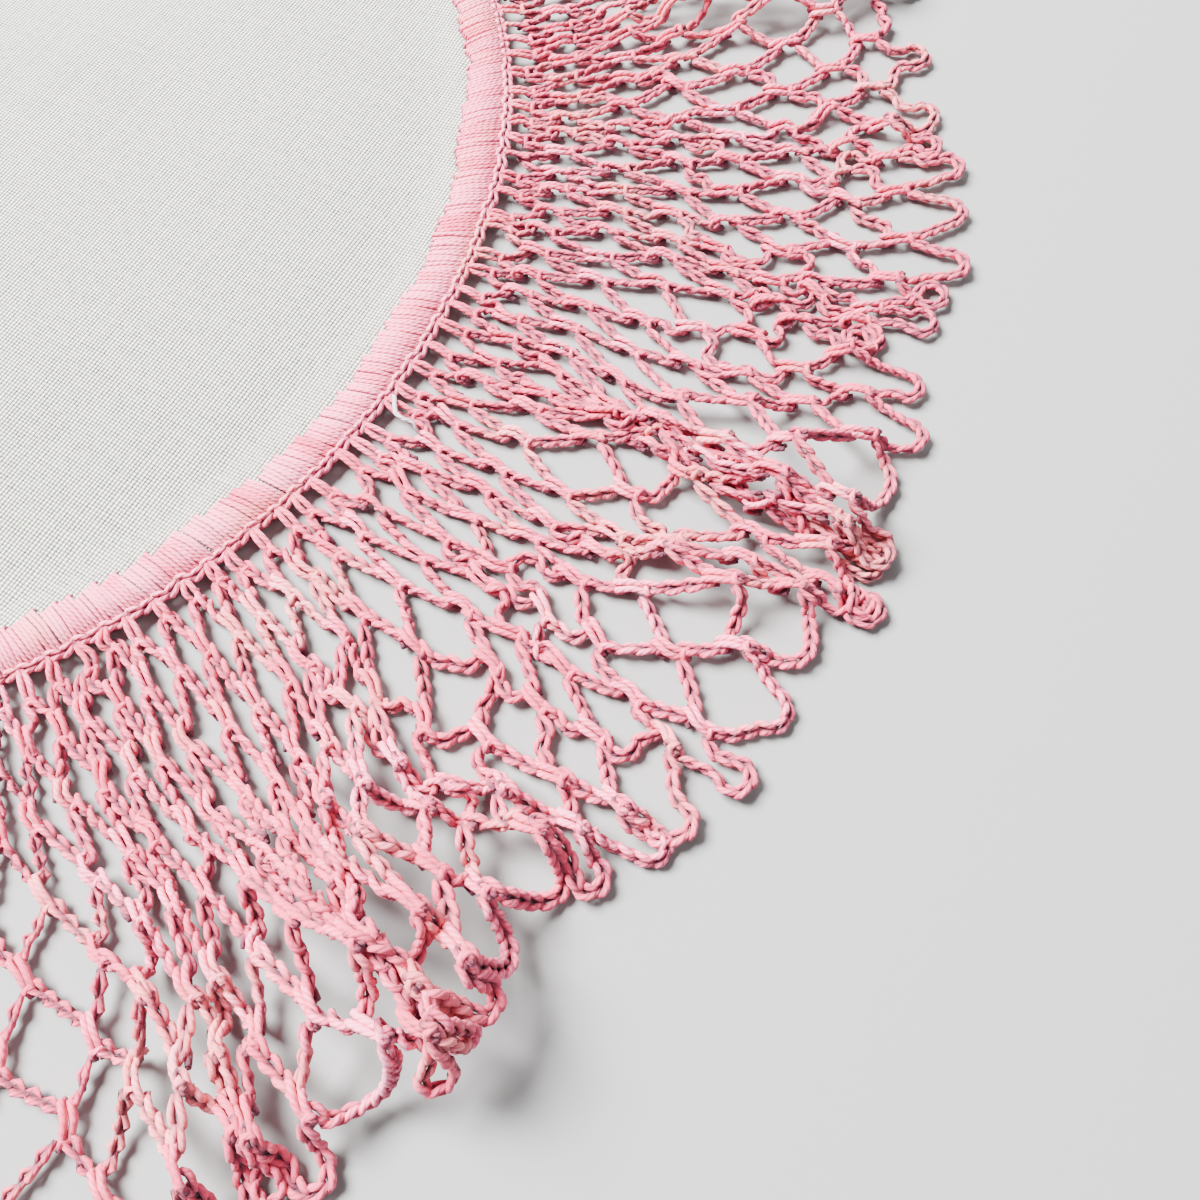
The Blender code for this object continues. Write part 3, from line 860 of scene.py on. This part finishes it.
def strand_paths(angles, entry, reaches, face, rises, lifts):
    """Paths of the strands over or under the hem, whose face there has the given height."""
    radii = [entry + reach for reach in reaches] + [RIDGE_INNER]
    heights = [face + STITCH_RISE * rise + lift for rise, lift in zip(rises, lifts)]
    return np.stack([polar(*row) for row in zip(angles, radii, heights)], axis=1)


def add_strands(threads, draws, top, bottom):
    """Strands over and under the hem in small groups, each group with a dark plug of painted shade
    for the hole beside it.
    """
    strand = np.arange(STRANDS)
    step = 360 / STRANDS
    starts = np.cumsum(draws.choice(STRAND_GROUPS, STRANDS))
    starts = np.concatenate([[0], starts[starts < STRANDS]])
    size = np.diff(np.append(starts, STRANDS))
    group = np.searchsorted(starts, strand, side="right") - 1
    place = (strand - starts[group] + 0.5) / size[group] - 0.5
    angle = -strand * step + draws.normal(0, ANGLE_UNEVEN, STRANDS)
    slant = HEADING_SLANT + draws.normal(0, SLANT_UNEVEN, len(starts))[group]
    slant += draws.normal(0, ANGLE_UNEVEN, STRANDS)
    inner = angle - slant
    entry = LINEN_SIGHT_RADIUS + edge_wander(inner) + place * GROUP_STEP
    group_uneven = draws.normal(0, GROUP_UNEVEN, len(starts))[group]
    entry += group_uneven + draws.normal(0, STRAND_UNEVEN, STRANDS)
    lift = draws.normal(0, STRAND_UNEVEN, STRANDS)
    outer = angle + place * size[group] * step * STRAND_GATHER
    run = strand * STRAND_LENGTH
    drop = np.array([0, 0, STRAND_SHADE_DROP])
    front = (inner, inner, angle - slant * 0.5, outer)
    paths = strand_paths(front, entry, FRONT_REACHES, top, FRONT_RISES, (0, lift, lift, 0))
    threads.add(paths, paths - drop, HEADING_THREAD, run, FRONT_PAINTED_SHADE, FINE_SIDES)
    back = (inner, inner, angle)
    paths = strand_paths(back, entry, BACK_REACHES, bottom, BACK_RISES, (0, 0, 0))
    threads.add(paths, paths + drop, HEADING_THREAD * BACK_THREAD, run, BACK_PAINTED_SHADE, COARSE_SIDES)
    # Painted shade: a dark plug where each group's hole lies
    hole = inner[starts] + step * HOLE_SHIFT
    hole_entry = entry[starts] + HOLE_OUT
    paths = np.stack([polar(hole, hole_entry, height) for height in HOLE_HEIGHTS], axis=1)
    threads.add(paths, paths, HOLE_RADIUS, run[starts], (1, 1), FINE_SIDES)


def add_ridge(threads, draws, top):
    """The chain ridge at the strands' outer ends, which sags between the net's knots."""
    stitches = RIDGE_STITCHES // RIDGE_ARCS
    points = []
    jitter = draws.normal(0, RIDGE_UNEVEN, RIDGE_STITCHES + 1)
    jitter[-1] = jitter[0]
    for arc in range(RIDGE_ARCS):
        place = np.arange(stitches + 1) + arc * stitches
        column = place * COLUMNS / RIDGE_STITCHES
        sag = 0.5 - 0.5 * np.cos(2 * pi * (column - 0.5))
        radius = RIDGE_INNER + RIDGE_SAG * sag + jitter[place]
        points.append(polar(plain_angle(column), radius, top + RIDGE_LIFT - RIDGE_SAG * sag))
    arc = np.arange(RIDGE_ARCS)
    fine = is_fine(-(arc + 0.5) * 360 / RIDGE_ARCS)
    even = np.zeros(RIDGE_ARCS)
    paths, middle = chain_paths(np.array(points), even + RIDGE_TWIST, even, even + RIDGE_STITCH,
                                even, 0)
    run = arc * ARC_THREAD
    threads.add_table(paths, middle, CHAIN_STITCH, run, fine, even + RIDGE_THREAD)


def build_heading(material):
    draws = np.random.default_rng(5)
    threads = Threads()
    top = HEM_MIDDLE + LINEN_THICK
    add_strands(threads, draws, top, HEM_MIDDLE - LINEN_THICK)
    add_ridge(threads, draws, top)
    return threads.make("heading_stitches", material)


# ---- a sewing thread's loose end
# Angles in degrees, radii and heights in millimetres
TAIL = [
    (-36.2, 82.9, 1.3),
    (-36.5, 83.7, 1.9),
    (-37.1, 84.4, 2.2),
    (-37.65, 85.1, 2.2),
    (-37.75, 86.1, 2.1),
    (-37.5, 87.1, 1.8),
    (-37.9, 88.1, 1.2),
]
TAIL_RADII = [0.18, 0.24, 0.27, 0.27, 0.25, 0.22, 0.18]
TAIL_SHADE_DROP = 1.0


def build_tail(material):
    """The short end of undyed thread that stands out of the heading's edge."""
    threads = Threads()
    path = np.array([[polar(*point) for point in TAIL]])
    middle = path - [0, 0, TAIL_SHADE_DROP]
    threads.add(path, middle, TAIL_RADII, np.zeros(1), np.zeros(len(TAIL)), FINE_SIDES)
    return threads.make("thread_tail", material)


# ---- linen
# The linen's rings of points: radius, and height over the surface
FLAT_RINGS = [(6 * k, 0.0) for k in range(1, 12)]
HEM_RINGS = [(69.5, 0.0), (72.0, 0.02), (74.0, 0.12), (75.5, 0.42), (76.6, 0.66), (77.6, 0.72),
             (79.5, 0.72), (HEM_RADIUS, 0.72)]
# The linen lies in low waves, which run out towards the hem
WAVE_HEIGHT = 0.45
WAVE_END = 66
WAVE_END_RUN = 10
SHORT_WAVE = 0.28
LONG_WAVE = 0.2


def wave_at(x, y):
    short = SHORT_WAVE * sin(x / 17 + 1.3) * cos(y / 23)
    return max(0.5 + short + LONG_WAVE * sin((x + 1.7 * y) / 31), 0)


def build_linen(material):
    """A round of cloth that lies flat, steps up at its hem, and has its rim inside the heading."""
    shape = bmesh.new()
    profile = [shape.verts.new((0, 0, 0))]
    for radius, rise in FLAT_RINGS + HEM_RINGS:
        profile.append(shape.verts.new((radius * MM, 0, rise * MM)))
    edges = [shape.edges.new(pair) for pair in zip(profile[:-1], profile[1:])]
    bmesh.ops.spin(shape, geom=profile + edges, cent=(0, 0, 0), axis=(0, 0, 1),
                   angle=2 * pi, steps=240, use_merge=True)
    bmesh.ops.remove_doubles(shape, verts=shape.verts[:], dist=0.00001)
    bmesh.ops.recalc_face_normals(shape, faces=shape.faces[:])
    if shape.faces[0].normal.z < 0:
        bmesh.ops.reverse_faces(shape, faces=shape.faces[:])
    for point in shape.verts:
        x, y = point.co.x / MM, point.co.y / MM
        inner = 1 - min(max((point.co.xy.length / MM - WAVE_END) / WAVE_END_RUN, 0), 1)
        point.co.z += inner * wave_at(x, y) * WAVE_HEIGHT * MM
    item = add_shape("linen", shape, material)
    item.data.shade_smooth()
    sheet = item.modifiers.new("thickness", "SOLIDIFY")
    sheet.thickness = LINEN_THICK * MM
    sheet.offset = 1
    return item


# ---- materials
class Value:
    """A number on a shader socket. Arithmetic on it adds Math nodes."""

    def __init__(self, paint, socket):
        self.paint, self.socket = paint, socket

    def maths(self, operation, *values):
        settings = {"operation": operation}
        return self.paint.node("ShaderNodeMath", settings, dict(enumerate(values)))

    def __add__(self, other):
        return self.maths("ADD", self, other)

    def __sub__(self, other):
        return self.maths("SUBTRACT", self, other)

    def __rsub__(self, other):
        return self.maths("SUBTRACT", other, self)

    def __mul__(self, other):
        return self.maths("MULTIPLY", self, other)

    def __pow__(self, other):
        return self.maths("POWER", self, other)

    def sine(self):
        return self.maths("SINE", self)

    def size(self):
        return self.maths("ABSOLUTE", self)

    def above(self, level):
        return self.maths("GREATER_THAN", self, level)

    def clamped(self):
        return self.paint.node("ShaderNodeClamp", {}, {0: self})

    def swing(self, amount):
        """A noise that lies about a half, made to swing by amount about 0."""
        return (self - 0.5) * amount

    def rise(self, start, gain):
        """0 up to start, and from there on growing by gain, up to 1."""
        return ((self - start) * gain).clamped()


class Paint:
    """One material and the nodes that it is made of."""

    def __init__(self, name, roughness, sheen):
        self.material = bpy.data.materials.new(name)
        self.material.use_nodes = True
        self.tree = self.material.node_tree
        self.shader = self.tree.nodes["Principled BSDF"]
        for label, value in (("Roughness", roughness), ("Sheen Weight", sheen),
                             ("Sheen Roughness", 0.5), ("Specular IOR Level", 0.2)):
            self.shader.inputs[label].default_value = value
        self.body = self.node("ShaderNodeTexCoord", {}, {}, output=3)

    def node(self, kind, settings, sockets, output=0):
        """A new node: its settings are set first, then its sockets' values or links."""
        made = self.tree.nodes.new(kind)
        for name, value in settings.items():
            setattr(made, name, value)
        for name, value in sockets.items():
            self.feed(made.inputs[name], value)
        return Value(self, made.outputs[output])

    def feed(self, socket, value):
        if isinstance(value, Value):
            self.tree.links.new(value.socket, socket)
        else:
            socket.default_value = value

    def attribute(self, name):
        return self.node("ShaderNodeAttribute", {"attribute_name": name}, {}, output=2)

    def mapping(self, vector, **sockets):
        return self.node("ShaderNodeMapping", {}, {"Vector": vector, **sockets})

    def mix(self, share, low, high):
        settings = {"data_type": "RGBA", "blend_type": "MIX"}
        sockets = {0: share, 6: low, 7: high}
        return self.node("ShaderNodeMix", settings, sockets, output=2)

    def split(self, vector):
        made = self.tree.nodes.new("ShaderNodeSeparateXYZ")
        self.tree.links.new(vector.socket, made.inputs[0])
        return [Value(self, socket) for socket in made.outputs]

    def noise(self, vector, scale, detail=2.0, roughness=0.5, dimensions="3D"):
        sockets = {"Scale": scale, "Detail": detail, "Roughness": roughness}
        sockets["W" if dimensions == "1D" else "Vector"] = vector
        return self.node("ShaderNodeTexNoise", {"noise_dimensions": dimensions}, sockets)

    def finish(self, colour, bump_height, bump_distance):
        self.feed(self.shader.inputs["Base Color"], colour)
        sockets = {"Strength": 1.0, "Distance": bump_distance, "Height": bump_height}
        normal = self.node("ShaderNodeBump", {}, sockets)
        self.feed(self.shader.inputs["Normal"], normal)
        return self.material


# Colours of a thread: pale, for its paler runs of dye and as painted highlight on the open outer
# sides of its threads; its usual colour; deep, for its deeper runs of dye and as painted shade deep
# in its stitches; painted shade; and the warmer tint of some stretches.
Dye = namedtuple("Dye", "pale mid deep shade warm")
PINK_DYE = Dye((0.97, 0.25, 0.39, 1), (0.85, 0.098, 0.213, 1), (0.72, 0.080, 0.155, 1),
               (0.13, 0.040, 0.065, 1), (0.94, 0.31, 0.28, 1))
UNDYED = Dye((0.64, 0.54, 0.64, 1), (0.50, 0.41, 0.53, 1), (0.34, 0.27, 0.36, 1),
             (0.12, 0.09, 0.12, 1), (0.60, 0.52, 0.55, 1))
PLIES = 3
PLY_LAY = 2.3  # millimetres of thread to one turn of its plies
# How far each of these turns a thread's tone, which is 0 at its deep colour and 1 at its usual one
RUN_TONE = 2.2
FLECK_TONE = 1.0
CLOUD_TONE = 0.8
# painted shade in the grooves between plies, lighter on their crowns
PLY_SHADE_TONE = 0.65
# painted shade: how far the painted_shade attribute darkens the tone
PAINTED_SHADE_TONE = 1.6
TONE_DROP = 0.3
PALE_RISE = (0.45, 1.6)  # tone from which it pales, by paler dye and as painted highlight, and how fast
WARM_RISE = (1.08, 5)
WARM_SHARE = 0.45
SHADE_GAIN = 1.7
FIBRE_BUMP = 0.8  # height of the fibres over that of the plies
COTTON_BUMP = 0.055  # millimetres


def cotton(name, dye, lightness, shaded_from):
    """Twisted cotton thread, dyed in paler and deeper runs, with painted shade deep in its stitches
    and on its undersides.
    """
    paint = Paint(name, roughness=0.82, sheen=0.12)
    along, around, _ = paint.split(paint.node("ShaderNodeUVMap", {"uv_map": "thread"}, {}))
    # deep holds each point's painted shade
    run, deep = paint.attribute("run"), paint.attribute("painted_shade")
    shade = paint.noise(run, 7.0, 1.0, 0.4, "1D")
    fleck = paint.noise(paint.body, 420.0)
    cloud = paint.noise(paint.body, 28.0, 1.0)
    warm = paint.noise(run + 400.0, 3.0, 0.0, 0.5, "1D") + paint.noise(paint.body, 150.0, 1.0)
    ply = ((along * (1 / PLY_LAY) + around) * (2 * pi * PLIES / 2)).sine().size()
    tone = shade.swing(RUN_TONE) + fleck.swing(FLECK_TONE) + cloud.swing(CLOUD_TONE)
    tone = tone + ply * PLY_SHADE_TONE - TONE_DROP - deep * PAINTED_SHADE_TONE + lightness
    colour = paint.mix(tone.clamped(), dye.deep, dye.mid)
    colour = paint.mix(tone.rise(*PALE_RISE), colour, dye.pale)
    colour = paint.mix(warm.rise(*WARM_RISE) * WARM_SHARE, colour, dye.warm)
    # Painted shade: past shaded_from the colour turns to the dye's shade colour
    colour = paint.mix(deep.rise(shaded_from, SHADE_GAIN), colour, dye.shade)
    fibre = paint.noise(paint.body, 2600.0)
    return paint.finish(colour, ply + fibre * FIBRE_BUMP, COTTON_BUMP * MM)


LINEN_PALE = (0.83, 0.82, 0.725, 1)
LINEN_SHADE = (0.52, 0.51, 0.47, 1)
# painted shade in the gaps between the yarns
LINEN_GAP_SHADE = (0.06, 0.06, 0.055, 1)
# The linen's two ways of yarn: its pitch in millimetres, and the scale of its uneven runs
YARNS = [(0.47, (900, 30, 1)), (0.41, (30, 1000, 1))]
WARP_TURN = 145.6
SLUB_SWING = 1.4  # how far uneven yarn shifts the weave
DRIFT_SWING = 2.0
PALER = 1.6
LINEN_BUMP = 0.45  # millimetres


def yarn_height(own, other):
    return (own.size() ** 0.6) * ((other.size() ** 0.7) * 0.6 + 0.4)


def woven_linen():
    """Plain weave at the real pitch, with uneven threads and painted shade in small gaps between
    them.
    """
    paint = Paint("woven_linen", roughness=0.9, sheen=0.15)
    cloth = paint.mapping(paint.body, Rotation=(0, 0, radians(-WARP_TURN)))
    drift = paint.noise(cloth, 60.0, 1.0)
    slubs, waves = [], []
    for place, (pitch, streaks) in zip(paint.split(cloth), YARNS):
        slub = paint.noise(paint.mapping(cloth, Scale=streaks), 1.0, 1.0)
        phase = place * (pi / (pitch * MM)) + slub.swing(SLUB_SWING) + drift.swing(DRIFT_SWING)
        slubs.append(slub)
        waves.append(phase.sine())
    warp, weft = waves
    over = (warp * weft).above(0.0)
    height = yarn_height(warp, weft) * over + yarn_height(weft, warp) * (1 - over)
    close = paint.noise(cloth, 1300.0, 0.0)
    # Painted shade: dark dots where the yarns leave gaps, some closed by noise
    gap = 1.75 - (warp.size() + weft.size()) * 1.4 - (close - 0.35) * 1.2
    cloud = paint.noise(paint.body, 35.0, 3.0)
    tone = (slubs[0] * 0.5 + slubs[1] * 0.5 + cloud * 0.5 - 0.25).clamped()
    colour = paint.mix(tone, LINEN_SHADE, LINEN_PALE)
    colour = paint.mix((tone * PALER).clamped(), colour, LINEN_PALE)
    colour = paint.mix(gap.clamped(), colour, LINEN_GAP_SHADE)
    return paint.finish(colour, height, LINEN_BUMP * MM)


# ---- the scene
FLOOR_HEIGHT = -0.0002  # just under the surface, which the threads rest on
FLOOR_COLOUR = (0.30, 0.296, 0.292, 1)
FLOOR_ROUGHNESS = 0.9
WORLD_COLOUR = (0.9, 0.93, 1.0, 1)
WORLD_STRENGTH = 0.27


def build_stage():
    shape = bmesh.new()
    bmesh.ops.create_grid(shape, x_segments=1, y_segments=1, size=3.0)
    material = bpy.data.materials.new("floor")
    material.use_nodes = True
    shader = material.node_tree.nodes["Principled BSDF"]
    shader.inputs["Base Color"].default_value = FLOOR_COLOUR
    shader.inputs["Roughness"].default_value = FLOOR_ROUGHNESS
    item = add_shape("floor", shape, material)
    item.location = (0, 0, FLOOR_HEIGHT)


CAMERA_PLACE = (0.0871, -0.1178, 0.0968)
CAMERA_TILT = 23.65  # from straight down
CAMERA_ROLL = -6.12
CAMERA_LENS = 31.54  # millimetres, like the sensor's width


def build_camera():
    data = bpy.data.cameras.new("camera")
    data.lens = CAMERA_LENS
    data.sensor_width = 36
    data.clip_start = 0.005
    camera = add_object("camera", data)
    tilt = Matrix.Rotation(radians(CAMERA_TILT), 4, "X")
    roll = Matrix.Rotation(radians(CAMERA_ROLL), 4, "Z")
    camera.matrix_world = Matrix.Translation(CAMERA_PLACE) @ (tilt @ roll)
    bpy.context.scene.camera = camera


Lamp = namedtuple("Lamp", "name place size power")
LAMPS = [
    Lamp("key", (-0.45, 0.30, 0.75), 0.5, 91.0),
    Lamp("fill", (0.7, -0.3, 0.7), 0.8, 3.0),
    Lamp("back", (0.1, 0.8, 0.4), 0.5, 5.0),
]


def build_lights():
    for lamp in LAMPS:
        data = bpy.data.lights.new(lamp.name, "AREA")
        data.size = lamp.size
        data.energy = lamp.power
        item = add_object(lamp.name, data)
        item.location = lamp.place
        item.rotation_euler = (-Vector(lamp.place)).to_track_quat("-Z", "Y").to_euler()
    world = bpy.data.worlds.new("studio")
    bpy.context.scene.world = world
    world.use_nodes = True
    background = world.node_tree.nodes["Background"]
    background.inputs["Color"].default_value = WORLD_COLOUR
    background.inputs["Strength"].default_value = WORLD_STRENGTH


def settle_in(piece, node):
    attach(piece, "root")
    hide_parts(node)


build_stage()
build_camera()
build_lights()
linen = build_linen(woven_linen())
settle_in(linen, "linen_round")
heading = build_heading(cotton("heading_cotton", PINK_DYE, 1.40, 0.32))
settle_in(heading, "crochet_heading")
tail = build_tail(cotton("tail_cotton", UNDYED, 0.9, 0.25))
settle_in(tail, "crochet_heading")
net_pieces = build_net_rounds(cotton("net_cotton", PINK_DYE, 0.36, 0.22))
for piece in net_pieces:
    settle_in(piece, "net_edging")
